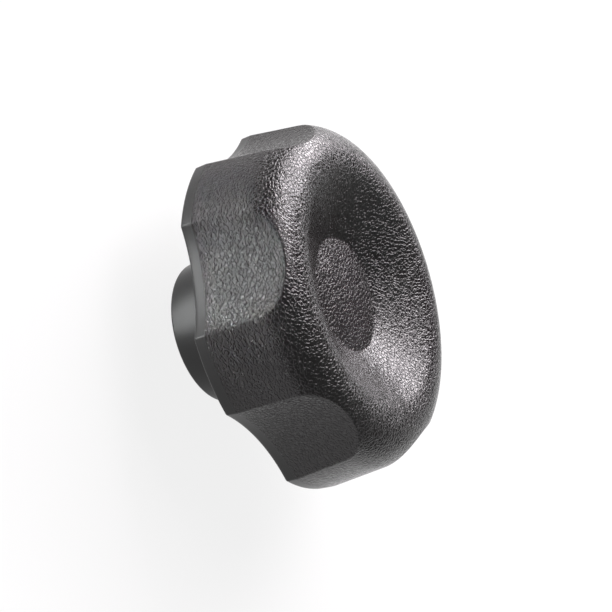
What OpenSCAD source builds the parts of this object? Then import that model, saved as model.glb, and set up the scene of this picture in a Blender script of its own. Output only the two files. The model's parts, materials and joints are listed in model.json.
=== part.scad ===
// Six-lobed adjustment knob with a dished front, a cored back and a threaded insert.
// The knob stands on the end face of its hub. +Z runs along the axis to the dished front,
// +X runs through the middle of a lobe, and the origin is the centre of the hub's end face.

/* [Grip] */
// Diameter over the lobes, at the parting line
knob_d = 70; // [62:1:90]
// Height of the front crest above the rear rim
grip_h = 20.3; // [18.5:0.1:26]
// Number of lobes
lobe_count = 6; // [5:1:8]
// Radius of each concave flute
flute_r = 31.2; // [24:0.2:44]
// Depth of each flute at the parting line
flute_depth = 3.4; // [2:0.1:4.6]
// Draft of the flutes on both sides of the parting line, in degrees
flute_draft = 4.5; // [2:0.1:7]
// Taper of the lobes in front of the parting line, in degrees
lobe_taper = 6.8; // [3:0.1:9]
// Width of the smooth rear band, from the rear rim to the parting line
band_w = 2.4; // [1:0.1:5]
// How much narrower the lobes are at the rear rim than at the parting line, on the radius
band_relief = 0.1; // [0.05:0.05:0.4]
// Radius of the large round that joins the lobes to the dish
front_round_r = 8; // [6:0.1:10]

/* [Dish] */
// Slope of the conical dish, in degrees
dish_slope = 26; // [14:1:32]
// Diameter of the floor of the dish
dish_floor_d = 22.4; // [12:0.2:28]
// Height of the crown of the floor above its edge
floor_crown = 0.6; // [0.2:0.1:1.4]

/* [Hub] */
// Diameter of the hub at its end face
hub_d = 28.2; // [25:0.1:32]
// Height of the hub below the rear rim
hub_h = 16.8; // [14:0.1:28]
// Draft of the hub, in degrees
hub_draft = 1.5; // [0.5:0.1:3]
// Radius of the round on the edge of the hub's end face
hub_edge_r = 0.6; // [0.3:0.1:1.2]

/* [Cored back] */
// Thickness of the moulded walls around the cored back
wall_t = 3.5; // [2.5:0.1:4.5]
// Thickness of each rib between the hub and a flute
rib_t = 2.4; // [1.6:0.1:3.6]
// Depth of the ribs' edges below the rear rim
rib_inset = 2; // [0.5:0.1:5]

/* [Threaded insert] */
// Nominal diameter of the thread
thread_d = 12; // [8, 10, 12]
// Pitch of the thread
thread_pitch = 1.75; // [1.25, 1.5, 1.75]
// Depth of the full thread from the end face
thread_depth = 20; // [12:0.5:20]
// Width of the chamfer outside the thread at its mouth
mouth_margin = 0.4; // [0.2:0.1:0.8]
// Diameter of the insert over its knurl
insert_d = 18; // [16:0.5:20]
// Length of the insert
insert_h = 25; // [24:0.5:26]
// Length of the plain collar at the mouth
collar_h = 3; // [1.5:0.5:4]
// Number of knurl grooves
knurl_count = 32; // [24:1:40]
// Depth of each knurl groove
knurl_depth = 0.5; // [0.3:0.05:0.6]
// Width of the turned groove that holds the insert in the plastic
lock_groove_w = 4; // [2:0.5:6]
// Depth of the turned groove
lock_groove_depth = 0.9; // [0.7:0.1:1.2]

/* [Hidden] */
$fn = 96;

// Half the included angle of the drill point at the end of the blind hole
DRILL_HALF_ANGLE = 59;
// ISO metric thread: the crests of a nut thread stand this many pitches in from the nominal diameter
NUT_CREST_RATIO = 1.0825;
// Number of flats that the core has under the front round
CORE_FLATS = 2;
// The draft of the flutes turns this far in front of the parting plane
FLUTE_LEAD = 0.05;
// Overshoot of the cutting shapes past the faces that they cut
CUT = 1;

lobe_r = knob_d / 2;
rim_z = hub_h;
parting_z = rim_z + band_w;
flute_pitch = 360 / lobe_count;

// Centre of the front round, tangent to the tapered lobes and to the front plane
round_z = rim_z + grip_h - front_round_r;
round_x = lobe_r - (round_z - parting_z) * tan(lobe_taper) - front_round_r / cos(lobe_taper);

// The dish leaves the front round at a tangent and falls to its floor
dish_floor_r = dish_floor_d / 2;
dish_top_r = round_x - front_round_r * sin(dish_slope);
dish_top_z = round_z + front_round_r * cos(dish_slope);
dish_floor_z = dish_top_z - (dish_top_r - dish_floor_r) * tan(dish_slope);
crown_r = (pow(dish_floor_r, 2) + pow(floor_crown, 2)) / (2 * floor_crown);

// The core follows the outside, one wall inside it
core_round_r = front_round_r - wall_t;
core_ceiling_z = dish_floor_z - wall_t / cos(dish_slope);
core_rim_r = lobe_r - wall_t / cos(lobe_taper) + (parting_z - rim_z + CUT) * tan(lobe_taper);

// Height where the draft of the flutes turns, and the distance of their axes there
flute_turn_z = parting_z + FLUTE_LEAD;
flute_axis_x = lobe_r - flute_depth + flute_r / cos(flute_draft);

thread_minor_r = (thread_d - NUT_CREST_RATIO * thread_pitch) / 2;
mouth_r = thread_d / 2 + mouth_margin;
drill_point_h = thread_minor_r / tan(DRILL_HALF_ANGLE);
insert_r = insert_d / 2;
knurl_h = (insert_h - collar_h - lock_groove_w) / 2;

// Radius of the hub's drafted side at a height
function hub_side_r(z) = hub_d / 2 + z * tan(hub_draft);

// Height of the middle of the dished wall at a radius
function dish_middle_z(r) =
    dish_floor_z + max(0, r - dish_floor_r) * tan(dish_slope) - wall_t / 2;

// Outline of the grip before the flutes are cut
module grip_profile() {
    polygon([
        [0, rim_z],
        [lobe_r - band_relief, rim_z],
        [lobe_r, parting_z],
        [round_x + front_round_r * cos(lobe_taper), round_z + front_round_r * sin(lobe_taper)],
        [round_x, round_z],
        [dish_top_r, dish_top_z],
        [dish_floor_r, dish_floor_z],
        [0, dish_floor_z]
    ]);
    translate([round_x, round_z])
        circle(front_round_r);
    intersection() {
        translate([0, dish_floor_z + floor_crown - crown_r])
            circle(crown_r);
        translate([0, rim_z])
            square([dish_floor_r, dish_floor_z + floor_crown - rim_z + CUT]);
    }
}

// Outline of the cored back, from the axis to the inside of the lobes. Flats take the place
// of a round under the front round.
module core_profile() {
    polygon(concat(
        [
            [0, rim_z - CUT],
            [core_rim_r, rim_z - CUT]
        ],
        [
            for (i = [0 : CORE_FLATS])
                let (a = lobe_taper + i / CORE_FLATS * (90 + dish_slope - lobe_taper))
                    [round_x + core_round_r * cos(a), round_z + core_round_r * sin(a)]
        ],
        [
            [dish_floor_r, core_ceiling_z],
            [0, core_ceiling_z]
        ]
    ));
}

// Outline of the hub, from its end face into the middle of the dished wall
module hub_profile() {
    top_r = hub_side_r(dish_floor_z);
    edge_x = hub_side_r(hub_edge_r) - hub_edge_r / cos(hub_draft);
    polygon(concat(
        [
            [0, 0],
            [edge_x, 0],
            [edge_x + hub_edge_r * cos(hub_draft), hub_edge_r * (1 - sin(hub_draft))],
            [top_r, dish_middle_z(top_r)]
        ],
        top_r > dish_floor_r ? [[dish_floor_r, dish_middle_z(0)]] : [],
        [[0, dish_middle_z(0)]]
    ));
    translate([edge_x, hub_edge_r])
        circle(hub_edge_r);
}

// A round bar along one flute, leaning in towards the front
module flute_bar(r) {
    reach = grip_h + CUT;
    translate([flute_axis_x, 0, flute_turn_z])
        rotate([0, -flute_draft, 0])
            translate([0, 0, -reach])
                cylinder(r = r, h = 2 * reach);
}

// One flute: the bar in front of the parting plane and its mirror image behind it
module flute() {
    span = 2 * flute_axis_x;
    intersection() {
        flute_bar(flute_r);
        translate([0, -span / 2, flute_turn_z])
            cube([span, span, grip_h]);
    }
    intersection() {
        translate([0, 0, 2 * flute_turn_z])
            mirror([0, 0, 1])
                flute_bar(flute_r);
        translate([0, -span / 2, rim_z - CUT])
            cube([span, span, flute_turn_z - rim_z + CUT]);
    }
}

// Places its children on each flute, half a pitch away from the lobes
module at_flutes() {
    for (i = [0 : lobe_count - 1])
        rotate([0, 0, (i + 0.5) * flute_pitch])
            children();
}

// The hollow of the cored back, one wall inside the flutes, with its ribs left standing
module cored_back() {
    difference() {
        rotate_extrude()
            core_profile();
        at_flutes()
            flute_bar(flute_r + wall_t);
        at_flutes()
            translate([0, -rib_t / 2, rim_z + rib_inset])
                cube([lobe_r, rib_t, grip_h]);
    }
}

// Outside of the insert: a plain collar and two knurled bands with a turned groove between them
module insert_outside() {
    groove_z = collar_h + knurl_h;
    difference() {
        cylinder(r = insert_r, h = insert_h);
        translate([0, 0, groove_z])
            difference() {
                cylinder(r = insert_r + CUT, h = lock_groove_w);
                cylinder(r = insert_r - lock_groove_depth, h = lock_groove_w);
            }
        for (i = [0 : knurl_count - 1])
            rotate([0, 0, i * 360 / knurl_count])
                translate([insert_r, 0, collar_h])
                    rotate([0, 0, 180])
                        cylinder(r = knurl_depth, h = insert_h - collar_h + CUT, $fn = 3);
    }
}

// One moulding: the lobed grip, its cored back and the hub around the insert
module knob_body() {
    color("#1d1d1f")
        difference() {
            union() {
                difference() {
                    rotate_extrude()
                        grip_profile();
                    at_flutes()
                        flute();
                    cored_back();
                }
                rotate_extrude()
                    hub_profile();
            }
            insert_outside();
        }
}

// Turned brass insert with a blind thread, drawn at the thread's inner diameter
module threaded_insert() {
    mouth_h = mouth_r - thread_minor_r;
    color("#b8964a")
        difference() {
            insert_outside();
            translate([0, 0, -CUT])
                cylinder(r = thread_minor_r, h = thread_depth + CUT);
            translate([0, 0, thread_depth])
                cylinder(r1 = thread_minor_r, r2 = 0, h = drill_point_h);
            translate([0, 0, -CUT])
                cylinder(r1 = mouth_r + CUT, r2 = thread_minor_r, h = mouth_h + CUT);
        }
}

knob_body();
threaded_insert();
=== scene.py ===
"""Looks of the six-lobed adjustment knob: one grained black moulding around a turned brass insert.

Sizes are in millimetres, as in the part's own source, and each mesh is scaled to metres. Only the
lamps and the floor have their sizes and distances in metres.
"""

import json
import math

import bpy
import numpy as np
from mathutils import Matrix, Vector


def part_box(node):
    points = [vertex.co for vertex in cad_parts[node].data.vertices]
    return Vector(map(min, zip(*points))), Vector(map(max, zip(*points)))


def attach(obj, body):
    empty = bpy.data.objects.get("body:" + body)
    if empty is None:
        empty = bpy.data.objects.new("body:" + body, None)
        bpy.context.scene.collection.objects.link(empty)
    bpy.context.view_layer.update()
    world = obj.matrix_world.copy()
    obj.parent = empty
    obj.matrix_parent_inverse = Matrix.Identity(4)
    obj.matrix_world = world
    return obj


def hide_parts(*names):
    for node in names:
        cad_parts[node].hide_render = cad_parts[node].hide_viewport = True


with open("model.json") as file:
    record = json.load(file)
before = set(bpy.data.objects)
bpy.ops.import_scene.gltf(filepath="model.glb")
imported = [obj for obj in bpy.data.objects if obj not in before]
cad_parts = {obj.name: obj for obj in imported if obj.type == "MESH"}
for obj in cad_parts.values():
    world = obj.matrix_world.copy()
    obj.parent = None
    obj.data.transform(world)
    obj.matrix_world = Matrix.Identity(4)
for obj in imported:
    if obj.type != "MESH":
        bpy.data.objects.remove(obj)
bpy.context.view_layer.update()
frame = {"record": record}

MM = 0.001
_, body_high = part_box("knob_body")
_, insert_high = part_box("threaded_insert")
thread_mount = next(m for m in frame["record"]["mounts"] if m["name"] == "thread")

# Grip: the lobes' radius comes from the frame
LOBE_COUNT = 6
LOBE_R = body_high.x / MM
FRONT_Z = 37.1
RIM_Z = 16.8
BAND_W = 2.4
BAND_RELIEF = 0.1
LOBE_TAPER = math.radians(6.8)
ROUND_R = 8.0
FLUTE_R = 31.2
FLUTE_DEPTH = 3.4
FLUTE_DRAFT = math.radians(4.5)
FLUTE_LEAD = 0.05

# Dish
DISH_SLOPE = math.radians(26)
FLOOR_R = 11.2
FLOOR_CROWN = 0.6

# Cored back and hub
WALL_T = 3.5
RIB_T = 2.4
RIB_INSET = 2.0
HUB_R = 14.1
HUB_DRAFT = math.radians(1.5)
HUB_EDGE_R = 0.6

# Insert
INSERT_R = insert_high.x / MM
INSERT_H = insert_high.z / MM
COLLAR_H = 3.0
KNURL_COUNT = 32
KNURL_DEPTH = 0.5
GROOVE_W = 4.0
GROOVE_DEPTH = 0.9
THREAD_R = 6.0
THREAD_PITCH = 1.75
THREAD_MINOR_R = thread_mount["dims"]["r_mm"]
THREAD_DEPTH = 20.0
MOUTH_R = 6.4
DRILL_HALF_ANGLE = math.radians(59)

# Derived places of the grip
PARTING_Z = RIM_Z + BAND_W
FLUTE_TURN_Z = PARTING_Z + FLUTE_LEAD
ROUND_Z = FRONT_Z - ROUND_R
ROUND_X = LOBE_R - (ROUND_Z - PARTING_Z) * math.tan(LOBE_TAPER) - ROUND_R / math.cos(LOBE_TAPER)
DISH_TOP_R = ROUND_X - ROUND_R * math.sin(DISH_SLOPE)
DISH_TOP_Z = ROUND_Z + ROUND_R * math.cos(DISH_SLOPE)
FLOOR_Z = DISH_TOP_Z - (DISH_TOP_R - FLOOR_R) * math.tan(DISH_SLOPE)
CROWN_R = (FLOOR_R ** 2 + FLOOR_CROWN ** 2) / (2 * FLOOR_CROWN)
FLUTE_AXIS_R = LOBE_R - FLUTE_DEPTH + FLUTE_R / math.cos(FLUTE_DRAFT)
CORE_ROUND_R = ROUND_R - WALL_T
CEILING_Z = FLOOR_Z - WALL_T / math.cos(DISH_SLOPE)
HUB_TOP_Z = CEILING_Z + (HUB_R - FLOOR_R) * math.tan(DISH_SLOPE)
SECTOR = math.pi / LOBE_COUNT

# Small rounds and chamfers on the edges of both pieces
RIDGE_BLEND = 0.16
FOOT_BLEND = 0.2
RIM_ROUND = 0.42
CORE_BLEND = 0.8
RIB_ROUND = 0.4
HUB_FILLET = 0.45
INSERT_CHAMFER = 0.2
KNURL_RUNOUT = 0.3

# How far the ribs' ends and the seat's cutter reach past the faces that they join or cut, and how
# far the ribs' tops stay below the middle of the wall where the dish meets the front round
RIB_HUB_OVERLAP = 2.0
RIB_WALL_OVERLAP = 1.0
SEAT_OVERSHOOT = 1.0
RIB_TOP_DROP = 0.5

# The columns of the body's mesh follow the flutes' ridges between these two angles, and a ridge is
# searched for at this many angles
RIDGE_ANGLE_LOW = math.radians(14.6)
RIDGE_ANGLE_HIGH = math.radians(19)
RIDGE_TRIES = 400

# Rings of the mesh in each turn of the thread, and how many pitches before the end of the straight
# hole the thread has faded out
RINGS_PER_TURN = 14
THREAD_END_PITCHES = 0.6

# Places of the two finishes in the body's list of materials
GRAIN, SATIN = 0, 1

# Edges sharper than this stay sharp
BODY_SHARP_ANGLE = math.radians(32)
INSERT_SHARP_ANGLE = math.radians(40)

# Leather grain: pebbles with valleys between them, bent and broken by noise, with a swell over them.
# The valleys and the breaks are shares of a pebble's size, and the swell is one of its height.
PEBBLE_SIZE = 0.7
PEBBLE_HEIGHT = 0.06
VALLEY_SHARE = 0.18
BEND_SIZE = 0.9
BEND_REACH = 0.7
BREAK_SIZE = 1.1
BREAK_SHARE = 0.2
SWELL_SIZE = 0.58
SWELL_SHARE = 1.9

# Colours and roughnesses go from the first to the second value with each material's pattern. The
# noise range is where nearly all of a noise lies, and the wander is the turning marks' in a radian.
POLYAMIDE_IOR = 1.46
# The grained colour goes from a painted shade in the grain's valleys to the polyamide's own warm black on
# the pebbles' tops
GRAIN_TONE_AND_VALLEY_SHADE = ((0.0034, 0.0022, 0.0026), (0.0066, 0.0042, 0.005))
GRAIN_ROUGHNESS = (0.24, 0.13)
SATIN_COLOURS = ((0.004, 0.0039, 0.004), (0.006, 0.0056, 0.0057))
SATIN_ROUGHNESS = (0.3, 0.36)
BRASS_COLOURS = ((0.66, 0.49, 0.23), (0.76, 0.6, 0.31))
BRASS_ROUGHNESS = (0.22, 0.34)
NOISE_RANGE = (0.3, 0.7)
CLOUD_SIZE = 6.0
FINE_SIZE = 0.12
BRASS_CLOUD_SIZE = 4.0
TURNING_SIZE = 0.09
TURNING_WANDER = 0.4
FINE_HEIGHT = 0.01
SATIN_BUMP = 0.35
BRASS_BUMP = 0.5

# Lamps: what they aim at, their distance in metres, and their two tints
LAMP_AIM = Vector((0, 0, 22 * MM))
LAMP_DISTANCE = 0.6
ROSE_TINT = (1, 0.945, 0.98)
COOL_TINT = (0.98, 1, 1)

# Studio: strengths of the ambient light and the ceiling, and the elevations in degrees between
# which the white backdrop goes over into the ceiling
AMBIENT = 0.2
CEILING = 0.3
BACKDROP_EDGE = (4, 16)

# Floor: half its width in metres, its grey, its glow at the knob, and the distances in metres from
# the knob's axis between which the glow rises to white
FLOOR_HALF = 3.0
FLOOR_ALBEDO = 0.1
FLOOR_GLOW = 0.85
FLOOR_WHITENS = (0.06, 0.2)

# Camera: where it stands as seen from its aim, with the azimuth counted from -Y, how far it is
# rolled, and how far the aim lies to the right and up in the picture from the middle of the rear rim
CAMERA_AZIMUTH = math.radians(17.04)
CAMERA_ELEVATION = math.radians(27.35)
CAMERA_ROLL = math.radians(74.1)
CAMERA_DISTANCE = 337.87
AIM_RIGHT = 4.529
AIM_UP = 1.175
FOCAL_LENGTH = 102.3
SENSOR_WIDTH = 36
CLIP_START = 10


def smooth_min(a, b, blend):
    """The smaller of two values, with a rounded change from one to the other."""
    share = np.clip(0.5 + 0.5 * (b - a) / blend, 0, 1)
    return b + (a - b) * share - blend * share * (1 - share)


def hub_side_r(z):
    """Radius of the hub's drafted side."""
    return HUB_R + z * math.tan(HUB_DRAFT)


def cone_rise(r):
    """How far the conical dish and the ceiling under it have risen at a radius."""
    return (r - FLOOR_R) * math.tan(DISH_SLOPE)


def lobe_wall_r(z):
    """Radius of the inside of the lobes' wall."""
    return LOBE_R - WALL_T / math.cos(LOBE_TAPER) + (PARTING_Z - z) * math.tan(LOBE_TAPER)


def bar_face_r(angle, z, radius, mirrored):
    """Distance from the knob's axis to the near face of the leaning bar that cuts a flute.

    angle is measured from the flute's own middle.
    """
    rise = abs(z - FLUTE_TURN_Z) if mirrored else z - FLUTE_TURN_Z
    axis = FLUTE_AXIS_R - rise * math.tan(FLUTE_DRAFT)
    along = radius / math.cos(FLUTE_DRAFT)
    cos, sin = np.cos(angle), np.sin(angle)
    a = (cos / along) ** 2 + (sin / radius) ** 2
    b = axis * cos / along ** 2
    c = (axis / along) ** 2 - 1
    inside = b * b - a * c
    reached = inside > 0
    near = (b - np.sqrt(np.where(reached, inside, 0))) / a
    return np.where(reached, near, 2 * LOBE_R)


def ridge_angle(r, z, radius, mirrored):
    """Angle from a flute's middle to the ridge where the bar's face meets a circle of radius r."""
    angles = np.linspace(0, SECTOR, RIDGE_TRIES)
    cut = bar_face_r(angles, z, radius, mirrored) < r
    return angles[cut][-1] if cut.any() else 0.0


def row(r, z, finish, cutter=0.0, mirrored=False, blend=RIDGE_BLEND, inset=0.0):
    """One ring of the body: a circle, cut by the flutes' bars where cutter is their radius."""
    return dict(r=r, z=z, finish=finish, cutter=cutter, mirrored=mirrored, blend=blend, inset=inset)


def steps(start, end, size):
    """Evenly spaced values from start to end, both included, about size apart."""
    return np.linspace(start, end, max(2, int(round(abs(end - start) / size)) + 1))


def dish_rows():
    """From the centre of the crowned floor to the top of the conical dish, closest at its foot."""
    near_foot = FLOOR_R + np.array([-0.6, -0.35, -0.2, -0.1, 0, 0.1, 0.2, 0.35, 0.6, 1.1])
    radii = np.concatenate([[0.35], steps(1.2, FLOOR_R - 1.2, 1.2), near_foot,
                            steps(FLOOR_R + 2.2, DISH_TOP_R, 1.5)[:-1]])
    rows = []
    for r in radii:
        crown = FLOOR_Z + FLOOR_CROWN - CROWN_R + math.sqrt(CROWN_R ** 2 - min(r, 2 * FLOOR_R) ** 2)
        cone = FLOOR_Z + cone_rise(r)
        rows.append(row(r, -smooth_min(-crown, -cone, FOOT_BLEND), GRAIN))
    return rows


def grip_rows():
    """Over the front round, down the fluted side and round the rear edge.

    The rings are closest between fine_top and fine_low, where the flutes run out in the round.
    """
    top, fine_top, fine_low = 90 + math.degrees(DISH_SLOPE), 62, 27
    low = math.degrees(LOBE_TAPER)
    angles = np.concatenate([steps(top, fine_top, 4)[:-1], steps(fine_top, fine_low, 1.05)[:-1],
                             steps(fine_low, low, 3)[:-1]])
    rows = []
    for angle in np.radians(angles):
        r = ROUND_X + ROUND_R * math.cos(angle)
        z = ROUND_Z + ROUND_R * math.sin(angle)
        # The blend is measured along the radius, so it widens where the round turns level
        blend = RIDGE_BLEND / max(math.cos(angle), 0.4)
        rows.append(row(r, z, GRAIN, FLUTE_R, True, blend))
    side_z = np.concatenate([steps(ROUND_Z + ROUND_R * math.sin(LOBE_TAPER), PARTING_Z + 0.6, 0.9),
                             PARTING_Z + np.array([0.3, 0.1, 0.05])])
    for z in side_z:
        rows.append(row(LOBE_R - (z - PARTING_Z) * math.tan(LOBE_TAPER), z, GRAIN, FLUTE_R, True))
    band_z = np.concatenate([PARTING_Z - np.array([0, 0.05, 0.15, 0.5, 1.0, 1.5]), [RIM_Z + RIM_ROUND]])
    for z in band_z:
        r = LOBE_R - (PARTING_Z - z) / BAND_W * BAND_RELIEF
        rows.append(row(r, z, SATIN, FLUTE_R, True))
    for turn in np.radians([22.5, 45, 67.5, 90]):
        z = RIM_Z + RIM_ROUND * (1 - math.sin(turn))
        r = LOBE_R - (PARTING_Z - z) / BAND_W * BAND_RELIEF
        rows.append(row(r, z, SATIN, FLUTE_R, True, inset=RIM_ROUND * (1 - math.cos(turn))))
    return rows


def core_rows():
    """From the rear land up the inside of the wall and along the ceiling to the hub."""
    bar = FLUTE_R + WALL_T
    rows = []
    for turn in np.radians([90, 67.5, 45, 22.5]):
        z = RIM_Z + RIM_ROUND * (1 - math.sin(turn))
        inset = -RIM_ROUND * (1 - math.cos(turn))
        rows.append(row(lobe_wall_r(z), z, SATIN, bar, False, CORE_BLEND, inset))
    for z in steps(RIM_Z + RIM_ROUND, ROUND_Z + CORE_ROUND_R * math.sin(LOBE_TAPER), 1.5)[:-1]:
        rows.append(row(lobe_wall_r(z), z, SATIN, bar, False, CORE_BLEND))
    for angle in np.radians(steps(math.degrees(LOBE_TAPER), 90 + math.degrees(DISH_SLOPE), 7)):
        r = ROUND_X + CORE_ROUND_R * math.cos(angle)
        z = ROUND_Z + CORE_ROUND_R * math.sin(angle)
        rows.append(row(r, z, SATIN, bar, False, CORE_BLEND))
    ceiling_r = ROUND_X - CORE_ROUND_R * math.sin(DISH_SLOPE)
    for r in steps(ceiling_r, hub_side_r(HUB_TOP_Z) + 1, 2)[1:]:
        rows.append(row(r, CEILING_Z + cone_rise(r), SATIN))
    return rows


def hub_rows():
    """Down the hub's side, round its edge and across its end face to the axis."""
    edge_x = hub_side_r(HUB_EDGE_R) - HUB_EDGE_R / math.cos(HUB_DRAFT)
    rows = []
    for drop, out in ((0.0, HUB_FILLET), (0.2, 0.12), (0.6, 0.0)):
        rows.append(row(hub_side_r(HUB_TOP_Z - drop) + out, HUB_TOP_Z - drop, SATIN))
    for z in steps(HUB_TOP_Z - 2, HUB_EDGE_R * (1 - math.sin(HUB_DRAFT)), 3):
        rows.append(row(hub_side_r(z), z, SATIN))
    for turn in np.radians([15, 30, 45, 60, 75, 90]):
        rows.append(row(edge_x + HUB_EDGE_R * math.cos(turn), HUB_EDGE_R * (1 - math.sin(turn)), SATIN))
    for r in (11.0, 7.0, 3.0):
        rows.append(row(r, 0.0, SATIN))
    return rows


def column_shares():
    """Places of the columns in half a sector: shares of the flute's half, then of the lobe's half.

    Both run away from the ridge and crowd at it.
    """
    near = [0.0, 0.06, 0.13, 0.22, 0.35, 0.6]
    flute_half, lobe_half = 10.6, 7.7
    flute = np.concatenate([near, steps(1.0, flute_half, 0.46)]) / flute_half
    lobe = np.concatenate([near[1:], steps(1.0, lobe_half, 0.75)]) / lobe_half
    return flute, lobe


def sector_angles(ridge):
    """Angles of the columns from one lobe's middle, over the flute, almost to the next lobe's."""
    flute, lobe = column_shares()
    half = np.concatenate([(1 - flute[::-1]) * ridge, ridge + lobe * (SECTOR - ridge)])
    return np.concatenate([-half[:0:-1], half[:-1]])


def row_points(ring):
    """The points of one ring all round the knob."""
    if ring["cutter"]:
        ridge = ridge_angle(ring["r"], ring["z"], ring["cutter"], ring["mirrored"])
        ridge = min(max(ridge, RIDGE_ANGLE_LOW), RIDGE_ANGLE_HIGH)
    else:
        ridge = RIDGE_ANGLE_LOW
    local = sector_angles(ridge)
    r = np.full(local.shape, float(ring["r"]))
    if ring["cutter"]:
        face = bar_face_r(local, ring["z"], ring["cutter"], ring["mirrored"])
        r = smooth_min(r, face, ring["blend"])
    r = r - ring["inset"]
    flutes = (np.arange(LOBE_COUNT) + 0.5) * 2 * SECTOR
    angles = (flutes[:, None] + local[None, :]).ravel()
    r = np.tile(r, LOBE_COUNT)
    return np.stack([r * np.cos(angles), r * np.sin(angles), np.full(angles.shape, ring["z"])], 1)


def mesh_object(name, points, faces, slots, materials):
    """A mesh object in the scene, with each face in its material's slot."""
    mesh = bpy.data.meshes.new(name)
    mesh.from_pydata(points, [], faces)
    for material in materials:
        mesh.materials.append(material)
    mesh.polygons.foreach_set("material_index", slots)
    mesh.update()
    made = bpy.data.objects.new(name, mesh)
    bpy.context.scene.collection.objects.link(made)
    return made


def lathe_object(name, rings, first_pole, last_pole, finishes, materials):
    """A closed mesh from rings of points, with one point at each end."""
    count = len(rings[0])
    points = np.concatenate([[first_pole], *rings, [last_pole]]) * MM
    last = len(points) - 1
    around = [(j, (j + 1) % count) for j in range(count)]
    faces = [(0, 1 + j, 1 + k) for j, k in around]
    slots = [finishes[0]] * count
    for i in range(len(rings) - 1):
        a, b = 1 + i * count, 1 + (i + 1) * count
        faces += [(a + j, b + j, b + k, a + k) for j, k in around]
        slots += [finishes[i + 1]] * count
    a = 1 + (len(rings) - 1) * count
    faces += [(a + j, last, a + k) for j, k in around]
    slots += [finishes[-1]] * count
    return mesh_object(name, points.tolist(), faces, slots, materials)


def node(tree, kind, **values):
    """A new shader node with its properties set."""
    made = tree.nodes.new(kind)
    for key, value in values.items():
        setattr(made, key, value)
    return made


def math_node(tree, operation, *values):
    """A Math node; the values are numbers or sockets."""
    made = node(tree, "ShaderNodeMath", operation=operation)
    for socket, value in zip(made.inputs, values):
        if isinstance(value, (int, float)):
            socket.default_value = value
        else:
            tree.links.new(value, socket)
    return made.outputs[0]


def remap(tree, value, low, high, to_low, to_high):
    """A Map Range node from a value's range to another."""
    made = node(tree, "ShaderNodeMapRange", interpolation_type="SMOOTHSTEP")
    tree.links.new(value, made.inputs["Value"])
    for name, number in (("From Min", low), ("From Max", high), ("To Min", to_low), ("To Max", to_high)):
        made.inputs[name].default_value = number
    return made.outputs["Result"]


def new_material(name):
    """A material with only its Principled shader, the node tree and the coordinates of the object."""
    material = bpy.data.materials.new(name)
    material.use_nodes = True
    tree = material.node_tree
    shader = tree.nodes["Principled BSDF"]
    coordinates = node(tree, "ShaderNodeTexCoord").outputs["Object"]
    return material, tree, shader, coordinates


def noise(tree, vector, size_mm, detail=2.0):
    """Noise with features about size_mm across."""
    made = node(tree, "ShaderNodeTexNoise")
    made.inputs["Scale"].default_value = 1 / (size_mm * MM)
    made.inputs["Detail"].default_value = detail
    tree.links.new(vector, made.inputs["Vector"])
    return made


def colour_between(tree, factor, low, high):
    """A colour that goes from low to high with the factor."""
    mix = node(tree, "ShaderNodeMix", data_type="RGBA")
    tree.links.new(factor, mix.inputs["Factor"])
    mix.inputs["A"].default_value = (*low, 1)
    mix.inputs["B"].default_value = (*high, 1)
    return mix.outputs["Result"]


def bump(tree, shader, height, height_mm, strength=1.0):
    """Tilts the shader's normals as a relief would in which a height of 1 is height_mm."""
    made = node(tree, "ShaderNodeBump")
    made.inputs["Strength"].default_value = strength
    made.inputs["Distance"].default_value = height_mm * MM
    tree.links.new(height, made.inputs["Height"])
    tree.links.new(made.outputs["Normal"], shader.inputs["Normal"])


def grained_polyamide():
    """Black glass-filled polyamide with a moulded leather grain, painted darker in the grain's valleys as
    shade.
    """
    material, tree, shader, place = new_material("grained_polyamide")
    bend = noise(tree, place, BEND_SIZE).outputs["Color"]
    centred = node(tree, "ShaderNodeVectorMath", operation="SUBTRACT")
    tree.links.new(bend, centred.inputs[0])
    centred.inputs[1].default_value = (0.5, 0.5, 0.5)
    bent = node(tree, "ShaderNodeVectorMath", operation="MULTIPLY_ADD")
    tree.links.new(centred.outputs[0], bent.inputs[0])
    bent.inputs[1].default_value = (BEND_REACH * MM,) * 3
    tree.links.new(place, bent.inputs[2])

    cells = node(tree, "ShaderNodeTexVoronoi", feature="DISTANCE_TO_EDGE")
    cells.inputs["Scale"].default_value = 1 / (PEBBLE_SIZE * MM)
    tree.links.new(bent.outputs[0], cells.inputs["Vector"])
    breaks = noise(tree, place, BREAK_SIZE).outputs["Fac"]
    raised = math_node(tree, "MULTIPLY_ADD", breaks, BREAK_SHARE, -BREAK_SHARE / 2)
    broken = math_node(tree, "ADD", cells.outputs["Distance"], raised)
    pebbles = remap(tree, broken, 0.0, VALLEY_SHARE, 0.0, 1.0)
    swell = noise(tree, place, SWELL_SIZE, 1.0).outputs["Fac"]
    bump(tree, shader, math_node(tree, "MULTIPLY_ADD", swell, SWELL_SHARE, pebbles), PEBBLE_HEIGHT)

    # Painted shade: the base colour darkens into the grain's valleys, as if the recesses were shaded
    tree.links.new(colour_between(tree, pebbles, *GRAIN_TONE_AND_VALLEY_SHADE), shader.inputs["Base Color"])
    tree.links.new(remap(tree, pebbles, 0.0, 0.5, *GRAIN_ROUGHNESS), shader.inputs["Roughness"])
    shader.inputs["IOR"].default_value = POLYAMIDE_IOR
    return material


def satin_polyamide():
    """The same polyamide where the mould is smooth: the rear band, the cored back and the hub."""
    material, tree, shader, place = new_material("satin_polyamide")
    cloud = noise(tree, place, CLOUD_SIZE, 3.0).outputs["Fac"]
    fine = noise(tree, place, FINE_SIZE).outputs["Fac"]
    bump(tree, shader, fine, FINE_HEIGHT, SATIN_BUMP)
    tree.links.new(colour_between(tree, cloud, *SATIN_COLOURS), shader.inputs["Base Color"])
    tree.links.new(remap(tree, cloud, *NOISE_RANGE, *SATIN_ROUGHNESS), shader.inputs["Roughness"])
    shader.inputs["IOR"].default_value = POLYAMIDE_IOR
    return material


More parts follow.
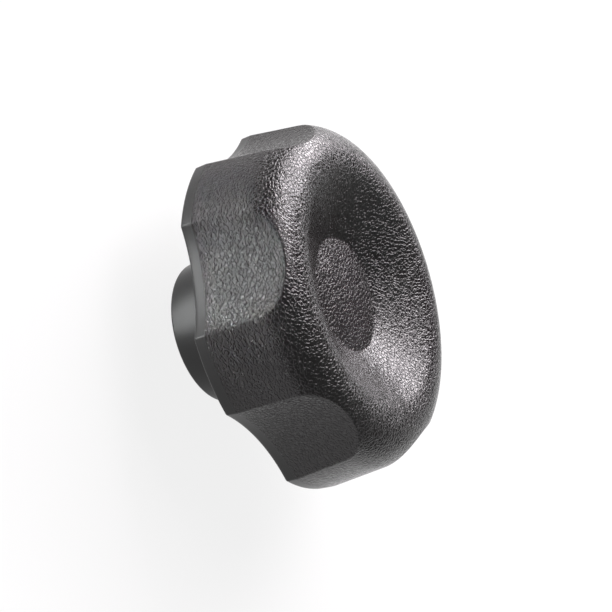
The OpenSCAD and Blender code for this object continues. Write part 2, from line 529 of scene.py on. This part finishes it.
def turned_brass():
    """Brass with fine turning marks round its axis."""
    material, tree, shader, place = new_material("turned_brass")
    split = node(tree, "ShaderNodeSeparateXYZ")
    tree.links.new(place, split.inputs[0])
    around = math_node(tree, "ARCTAN2", split.outputs["Y"], split.outputs["X"])
    x2 = math_node(tree, "MULTIPLY", split.outputs["X"], split.outputs["X"])
    y2 = math_node(tree, "MULTIPLY", split.outputs["Y"], split.outputs["Y"])
    radius = math_node(tree, "SQRT", math_node(tree, "ADD", x2, y2))
    turned = node(tree, "ShaderNodeCombineXYZ")
    tree.links.new(radius, turned.inputs["X"])
    tree.links.new(math_node(tree, "MULTIPLY", around, TURNING_WANDER * MM), turned.inputs["Y"])
    tree.links.new(split.outputs["Z"], turned.inputs["Z"])
    lines = noise(tree, turned.outputs[0], TURNING_SIZE, 3.0).outputs["Fac"]
    cloud = noise(tree, place, BRASS_CLOUD_SIZE, 3.0).outputs["Fac"]
    bump(tree, shader, lines, FINE_HEIGHT, BRASS_BUMP)
    tree.links.new(colour_between(tree, cloud, *BRASS_COLOURS), shader.inputs["Base Color"])
    tree.links.new(remap(tree, lines, *NOISE_RANGE, *BRASS_ROUGHNESS), shader.inputs["Roughness"])
    shader.inputs["Metallic"].default_value = 1.0
    return material


def smooth_shaded(made, sharp_angle):
    """Smooth shading, with edges sharper than the angle kept sharp."""
    made.data.shade_smooth()
    made.data.set_sharp_from_angle(angle=sharp_angle)


def combine(target, tool, operation):
    """Joins or cuts one closed mesh with another, and removes the other."""
    change = target.modifiers.new(operation, "BOOLEAN")
    change.operation = operation
    change.solver = "MANIFOLD"
    change.object = tool
    evaluated = target.evaluated_get(bpy.context.evaluated_depsgraph_get())
    result = bpy.data.meshes.new_from_object(evaluated)
    target.modifiers.clear()
    old, target.data = target.data, result
    bpy.data.meshes.remove(old)
    used = tool.data
    bpy.data.objects.remove(tool)
    bpy.data.meshes.remove(used)


def rib_sections():
    """Radius and top of a rib's sections, from inside the hub to inside a flute's wall."""
    middle_z = FLOOR_Z - WALL_T / 2
    hub_end = HUB_R - RIB_HUB_OVERLAP
    wall_end = LOBE_R - FLUTE_DEPTH - WALL_T + RIB_WALL_OVERLAP
    return [(hub_end, middle_z + cone_rise(hub_end)),
            (DISH_TOP_R, middle_z + cone_rise(DISH_TOP_R) - RIB_TOP_DROP),
            (wall_end, ROUND_Z + CORE_ROUND_R)]


def make_rib(turn, materials):
    """One rib of the cored back, turned to its flute, with its lower edges rounded."""
    low = RIM_Z + RIB_INSET
    half = RIB_T / 2
    # The middle of a quarter round lies about 0.3 of its radius in from both faces
    edge = [(half, RIB_ROUND), (half - 0.3 * RIB_ROUND, 0.3 * RIB_ROUND), (half - RIB_ROUND, 0.0)]
    outline = edge + [(-y, lift) for y, lift in edge[::-1]]
    points, faces = [], []
    for r, top_z in rib_sections():
        ring = [(r, y, low + lift) for y, lift in outline] + [(r, -half, top_z), (r, half, top_z)]
        points += [turn @ Vector(p) * MM for p in ring]
    n = len(outline) + 2
    for k in (0, 1):
        for j in range(n):
            a, b = k * n + j, k * n + (j + 1) % n
            faces.append((a, b, b + n, a + n))
    faces.append(tuple(range(n))[::-1])
    faces.append(tuple(2 * n + j for j in range(n)))
    return mesh_object("rib", points, faces, [SATIN] * len(faces), materials)


def insert_angles():
    """Columns of the insert: the middle and both edges of each knurl groove, and the land's middle."""
    pitch = 2 * math.pi / KNURL_COUNT
    edge = math.asin(KNURL_DEPTH / math.sqrt(3) / INSERT_R)
    middle = np.arange(KNURL_COUNT)[:, None] * pitch
    return (middle + np.array([[-edge, 0, edge, pitch / 2]])).ravel()


def insert_ring(r, z, knurled=False):
    """One ring of the insert; a knurled one dips by the knurl's depth at each groove."""
    angles = insert_angles()
    radii = np.full(angles.shape, float(r)) if np.isscalar(r) else r
    if knurled:
        in_groove = np.tile([False, True, False, False], KNURL_COUNT)
        radii = radii - KNURL_DEPTH * in_groove
    return np.stack([radii * np.cos(angles), radii * np.sin(angles), np.full(angles.shape, z)], 1)


def insert_outside(*ends):
    """Rings of the insert's outside, from the far end down to the collar, then to each end ring.

    Each of the ends is a radius and a height.
    """
    groove_z = COLLAR_H + (INSERT_H - COLLAR_H - GROOVE_W) / 2
    inner_r = INSERT_R - GROOVE_DEPTH
    rings = [insert_ring(INSERT_R, INSERT_H, True), insert_ring(INSERT_R, groove_z + GROOVE_W, True),
             insert_ring(inner_r, groove_z + GROOVE_W), insert_ring(inner_r, groove_z),
             insert_ring(INSERT_R, groove_z, True),
             insert_ring(INSERT_R, COLLAR_H + KNURL_RUNOUT, True), insert_ring(INSERT_R, COLLAR_H)]
    return rings + [insert_ring(r, z) for r, z in ends]


def thread_profile(turn):
    """Share of the thread's depth at a share of one turn, for a nut thread with flats at both ends."""
    crest, root = 1 / 4, 1 / 8
    flank = (1 - crest - root) / 2
    turn = np.mod(turn, 1)
    away = np.abs(turn - 0.5)
    return np.clip((0.5 - crest / 2 - away) / flank, 0, 1)


def bore_rings():
    """Rings of the threaded hole, from its mouth to the foot of the drill point.

    The thread fades out over its last turn, up to thread_end.
    """
    turns = insert_angles() / (2 * math.pi)
    thread_end = THREAD_DEPTH - THREAD_END_PITCHES * THREAD_PITCH
    rings = []
    for z in steps(0, THREAD_DEPTH, THREAD_PITCH / RINGS_PER_TURN):
        fade = min(1.0, max(0.0, (thread_end - z) / THREAD_PITCH))
        depth = thread_profile(z / THREAD_PITCH - turns) * (THREAD_R - THREAD_MINOR_R) * fade
        r = np.maximum(THREAD_MINOR_R + depth, MOUTH_R - z)
        rings.append(insert_ring(r, z))
    return rings


def make_body(materials):
    """The moulding, with its ribs joined on and the insert's seat cut out."""
    rows = dish_rows() + grip_rows() + core_rows() + hub_rows()
    rings = [row_points(ring) for ring in rows]
    finishes = [rows[0]["finish"]] + [ring["finish"] for ring in rows[1:]] + [SATIN]
    dish_middle = (0, 0, FLOOR_Z + FLOOR_CROWN)
    made = lathe_object("knob_moulding", rings, dish_middle, (0, 0, 0), finishes, materials)
    for i in range(LOBE_COUNT):
        turn = Matrix.Rotation((i + 0.5) * 2 * SECTOR, 3, "Z")
        combine(made, make_rib(turn, materials), "UNION")
    seat = insert_outside((INSERT_R, -SEAT_OVERSHOOT))
    cutter = lathe_object("seat_cutter", seat, (0, 0, INSERT_H), (0, 0, -SEAT_OVERSHOOT),
                          [SATIN] * (len(seat) + 1), materials)
    combine(made, cutter, "DIFFERENCE")
    smooth_shaded(made, BODY_SHARP_ANGLE)
    return made


def make_insert(material):
    """The brass insert with its cut thread."""
    end_face = [(INSERT_R, INSERT_CHAMFER), (INSERT_R - INSERT_CHAMFER, 0.0)]
    rings = insert_outside(*end_face) + bore_rings()
    drill_tip = (0, 0, THREAD_DEPTH + THREAD_MINOR_R / math.tan(DRILL_HALF_ANGLE))
    made = lathe_object("brass_insert", rings, (0, 0, INSERT_H), drill_tip,
                        [0] * (len(rings) + 1), [material])
    smooth_shaded(made, INSERT_SHARP_ANGLE)
    return made


def direction(azimuth, elevation):
    """Unit vector towards an azimuth, counted from +X, and an elevation, both in degrees."""
    a, e = math.radians(azimuth), math.radians(elevation)
    return Vector((math.cos(a) * math.cos(e), math.sin(a) * math.cos(e), math.sin(e)))


def softbox(name, azimuth, elevation, width, height, radiance, tint, tilt=0):
    """A rectangular lamp that faces the knob, turned by tilt degrees about its own axis.

    Its place is in degrees and its size in metres. radiance is its brightness, where white is 1.
    """
    lamp = bpy.data.lights.new(name, "AREA")
    lamp.shape = "RECTANGLE"
    lamp.size, lamp.size_y = width, height
    lamp.energy = radiance * math.pi * width * height
    lamp.color = tint
    made = bpy.data.objects.new(name, lamp)
    bpy.context.scene.collection.objects.link(made)
    away = direction(azimuth, elevation)
    made.location = LAMP_AIM + away * LAMP_DISTANCE
    turn = Matrix.Rotation(math.radians(tilt), 3, "Z")
    made.rotation_euler = (away.to_track_quat("Z", "Y").to_matrix() @ turn).to_euler()
    return made


def sight_ray(tree):
    """1 for camera, glossy and transmission rays, which see the white background, and 0 for others."""
    path = node(tree, "ShaderNodeLightPath")
    seen = math_node(tree, "MAXIMUM", path.outputs["Is Camera Ray"], path.outputs["Is Glossy Ray"])
    return math_node(tree, "MAXIMUM", seen, path.outputs["Is Transmission Ray"])


def make_world():
    """White for the camera, a white backdrop under a dim ceiling in reflections, and a dim even light."""
    world = bpy.data.worlds.new("studio")
    world.use_nodes = True
    tree = world.node_tree
    background = tree.nodes["Background"]
    split = node(tree, "ShaderNodeSeparateXYZ")
    tree.links.new(node(tree, "ShaderNodeTexCoord").outputs["Generated"], split.inputs[0])
    low, high = (math.sin(math.radians(angle)) for angle in BACKDROP_EDGE)
    shown = remap(tree, split.outputs["Z"], low, high, 1.0, CEILING)
    camera_ray = node(tree, "ShaderNodeLightPath").outputs["Is Camera Ray"]
    strength = node(tree, "ShaderNodeMix")
    tree.links.new(sight_ray(tree), strength.inputs["Factor"])
    strength.inputs["A"].default_value = AMBIENT
    tree.links.new(math_node(tree, "MAXIMUM", shown, camera_ray), strength.inputs["B"])
    background.inputs["Color"].default_value = (1, 1, 1, 1)
    tree.links.new(strength.outputs["Result"], background.inputs["Strength"])
    bpy.context.scene.world = world


def floor_material():
    """White that glows in sight and takes a soft shadow, and nothing at all from below."""
    material = bpy.data.materials.new("floor_white")
    material.use_nodes = True
    tree = material.node_tree
    tree.nodes.remove(tree.nodes["Principled BSDF"])
    diffuse = node(tree, "ShaderNodeBsdfDiffuse")
    diffuse.inputs["Color"].default_value = (FLOOR_ALBEDO, FLOOR_ALBEDO, FLOOR_ALBEDO, 1)
    away = node(tree, "ShaderNodeVectorMath", operation="LENGTH")
    tree.links.new(node(tree, "ShaderNodeTexCoord").outputs["Object"], away.inputs[0])
    level = remap(tree, away.outputs["Value"], *FLOOR_WHITENS, FLOOR_GLOW, 1.0)
    glow = node(tree, "ShaderNodeEmission")
    tree.links.new(math_node(tree, "MULTIPLY", sight_ray(tree), level), glow.inputs["Strength"])
    both = node(tree, "ShaderNodeAddShader")
    tree.links.new(diffuse.outputs[0], both.inputs[0])
    tree.links.new(glow.outputs[0], both.inputs[1])
    clear = node(tree, "ShaderNodeBsdfTransparent")
    mix = node(tree, "ShaderNodeMixShader")
    tree.links.new(node(tree, "ShaderNodeNewGeometry").outputs["Backfacing"], mix.inputs[0])
    tree.links.new(both.outputs[0], mix.inputs[1])
    tree.links.new(clear.outputs[0], mix.inputs[2])
    tree.links.new(mix.outputs[0], tree.nodes["Material Output"].inputs["Surface"])
    return material


def make_floor():
    """A plain white floor that keeps a soft shadow and lets the left lamp through from below."""
    ends = (-FLOOR_HALF, FLOOR_HALF)
    corners = [(x, y, 0) for x in ends for y in ends]
    floor = mesh_object("floor", corners, [(0, 2, 3, 1)], [0], [floor_material()])
    floor.visible_shadow = False


def make_camera():
    """The photograph's view: the knob's axis lies to the right and a little up in the picture."""
    level = Vector((math.cos(CAMERA_AZIMUTH), math.sin(CAMERA_AZIMUTH), 0))
    back = Vector((math.sin(CAMERA_AZIMUTH) * math.cos(CAMERA_ELEVATION),
                   -math.cos(CAMERA_AZIMUTH) * math.cos(CAMERA_ELEVATION), math.sin(CAMERA_ELEVATION)))
    right = level * math.cos(CAMERA_ROLL) + back.cross(level) * math.sin(CAMERA_ROLL)
    up = back.cross(right)
    aim = (Vector((0, 0, RIM_Z)) + right * AIM_RIGHT + up * AIM_UP) * MM
    lens = bpy.data.cameras.new("camera")
    lens.lens = FOCAL_LENGTH
    lens.sensor_width = SENSOR_WIDTH
    lens.clip_start = CLIP_START * MM
    camera = bpy.data.objects.new("camera", lens)
    bpy.context.scene.collection.objects.link(camera)
    camera.matrix_world = Matrix((right, up, back)).transposed().to_4x4()
    camera.location = aim + back * CAMERA_DISTANCE * MM
    bpy.context.scene.camera = camera


black = [grained_polyamide(), satin_polyamide()]
body = make_body(black)
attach(body, "root")
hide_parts("knob_body")

insert = make_insert(turned_brass())
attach(insert, "root")
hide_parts("threaded_insert")

bpy.context.scene.view_settings.view_transform = "Standard"
make_camera()
make_world()
make_floor()
softbox("key", azimuth=153, elevation=38, width=0.56, height=0.34, radiance=13.7, tint=ROSE_TINT,
        tilt=30)
softbox("top", azimuth=190, elevation=62, width=0.34, height=0.34, radiance=5.5, tint=ROSE_TINT)
left = softbox("left", azimuth=246, elevation=-22, width=0.6, height=0.44, radiance=6.4,
               tint=COOL_TINT, tilt=-26)
# Mirrored rays stop at the floor, so the lamp below it is found by light sampling alone
left.data.cycles.use_multiple_importance_sampling = False
